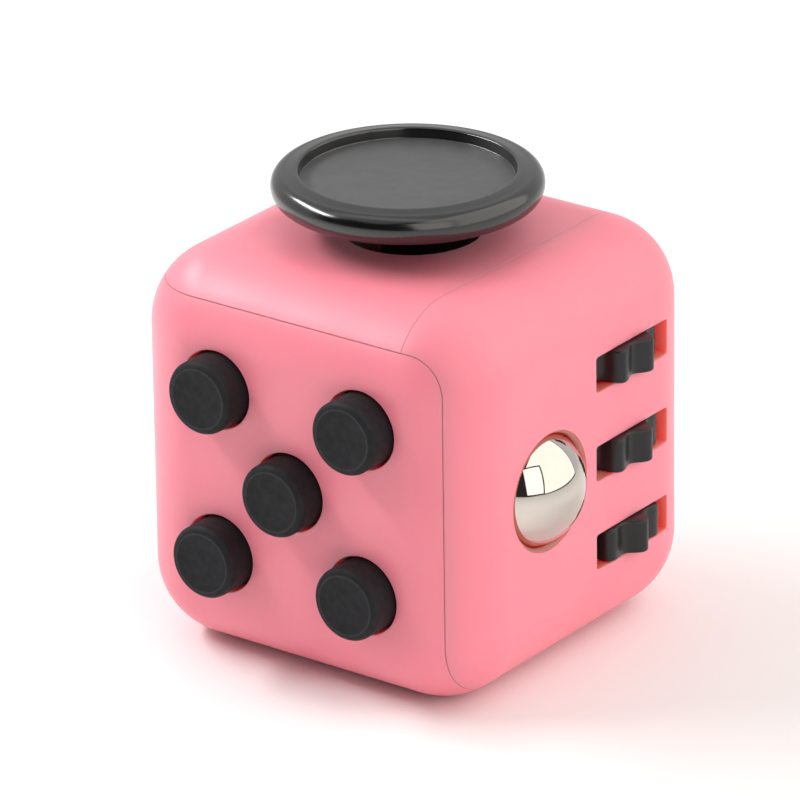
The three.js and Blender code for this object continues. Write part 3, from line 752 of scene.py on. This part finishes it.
# the sky's light: directions in degrees, colours as radiance, sizes and widths as tangents
DARK_SIDE = (8, 24)
DARK_EDGE = (0.5, 0.72)
PALE_SKY = (0.72, 0.72, 0.72, 1)
DARK_SKY = (0.03, 0.028, 0.027, 1)
FRAME = 0.05
BLUR = 0.004
FRAME_COLOUR = (0.03, 0.028, 0.026, 1)
# name, azimuth and elevation in degrees, distance, width and height in metres, power in watts
SOFTBOXES = [
    ("key_left", -65, 46, 0.2, 0.14, 0.028, 0.24),
    ("top_soft", -20, 72, 0.3, 0.25, 0.25, 0.12),
]
WINDOWS = [
    (112, 38, 0.95, 0.72, (1.75, 1.7, 1.6, 1)),
    (58, 27, 0.28, 0.44, (1.85, 1.82, 1.75, 1)),
]


def aim(azimuth, elevation):
    """The direction from the cube towards this azimuth and elevation, in degrees."""
    a, e = math.radians(azimuth), math.radians(elevation)
    return Vector((math.sin(a) * math.cos(e), -math.cos(a) * math.cos(e), math.sin(e)))


def make_camera():
    """A long lens that looks down at the front right corner."""
    back = aim(AZIMUTH, ELEVATION)
    level = aim(AZIMUTH + 90, 0)
    up = back.cross(level)
    roll = math.radians(ROLL)
    right = level * math.cos(roll) + up * math.sin(roll)
    top = up * math.cos(roll) - level * math.sin(roll)
    camera = bpy.data.cameras.new("camera")
    camera.lens = LENS
    camera.sensor_width = 36
    camera.clip_start = 0.01
    thing = bpy.data.objects.new("camera", camera)
    place = back * DISTANCE + right * SLIDE[0] + top * SLIDE[1] + Vector((0, 0, HALF))
    axes = Matrix((right, top, back)).transposed().to_4x4()
    thing.matrix_world = Matrix.Translation(place * MM) @ axes
    bpy.context.scene.collection.objects.link(thing)
    bpy.context.scene.camera = thing


def softbox(name, azimuth, elevation, distance, width, height, power):
    """A rectangular area light, in metres and watts, aimed at the cube's foot."""
    light = bpy.data.lights.new(name, "AREA")
    light.shape = "RECTANGLE"
    light.size = width
    light.size_y = height
    light.energy = power
    thing = bpy.data.objects.new(name, light)
    back = aim(azimuth, elevation)
    thing.location = back * distance
    thing.rotation_mode = "QUATERNION"
    thing.rotation_quaternion = back.to_track_quat("Z", "Y")
    thing.visible_camera = False
    bpy.context.scene.collection.objects.link(thing)


def make_floor():
    """A wide sheet of white paper, just below the cube."""
    bm = bmesh.new()
    bmesh.ops.create_grid(bm, x_segments=8, y_segments=8, size=3)
    floor = bpy.data.objects.new("floor", to_mesh(bm))
    paper = finish("floor_paper", rgb(250, 250, 250), rgb(248, 248, 248), 0.7, 0.03, 60, 1, 0.002)
    floor.data.materials.append(paper)
    floor.location.z = -0.00005
    bpy.context.scene.collection.objects.link(floor)


def make_sky():
    """A pale studio, dark in front, with windows of light on the right in thin dark frames."""
    world = bpy.data.worlds.new("studio")
    bpy.context.scene.world = world
    world.use_nodes = True
    tree = world.node_tree
    background = tree.nodes["Background"]
    direction = tree.nodes.new("ShaderNodeTexCoord").outputs["Generated"]

    def along(axis):
        node = tree.nodes.new("ShaderNodeVectorMath")
        node.operation = "DOT_PRODUCT"
        node.inputs[1].default_value = axis
        tree.links.new(direction, node.inputs[0])
        return node.outputs["Value"]

    def maths(operation, first, second):
        node = tree.nodes.new("ShaderNodeMath")
        node.operation = operation
        for socket, value in zip(node.inputs, (first, second)):
            if isinstance(value, (int, float)):
                socket.default_value = value
            else:
                tree.links.new(value, socket)
        return node.outputs["Value"]

    def ramp(value, start, end):
        node = tree.nodes.new("ShaderNodeMapRange")
        node.inputs["From Min"].default_value = start
        node.inputs["From Max"].default_value = end
        tree.links.new(value, node.inputs["Value"])
        return node.outputs["Result"]

    def blend(factor, under, over):
        node = tree.nodes.new("ShaderNodeMix")
        node.data_type = "RGBA"
        for name, value in (("Factor", factor), ("A", under), ("B", over)):
            if isinstance(value, tuple):
                node.inputs[name].default_value = value
            else:
                tree.links.new(value, node.inputs[name])
        return node.outputs["Result"]

    sky = blend(ramp(along(aim(*DARK_SIDE)), *DARK_EDGE), PALE_SKY, DARK_SKY)
    for azimuth, elevation, half_width, half_height, colour in WINDOWS:
        centre = aim(azimuth, elevation)
        level = aim(azimuth + 90, 0)
        ahead = maths("MAXIMUM", along(centre), 0.001)
        across = maths("ABSOLUTE", maths("DIVIDE", along(level), ahead), 0)
        up = maths("ABSOLUTE", maths("DIVIDE", along(centre.cross(level)), ahead), 0)
        outside = maths("MAXIMUM", maths("SUBTRACT", across, half_width),
                        maths("SUBTRACT", up, half_height))
        sky = blend(ramp(outside, FRAME + BLUR, FRAME), sky, FRAME_COLOUR)
        sky = blend(ramp(outside, BLUR, 0), sky, colour)
    tree.links.new(sky, background.inputs["Color"])


make_camera()
make_floor()
make_sky()
for row in SOFTBOXES:
    softbox(*row)
bpy.context.scene.view_settings.view_transform = "Standard"

dress_nodes()
make_housing()
for spot in SPOTS:
    make_button(spot)
make_ball()
for level in GEAR_ANGLES:
    make_gear(level)
make_joystick()
make_dial()
make_rocker()
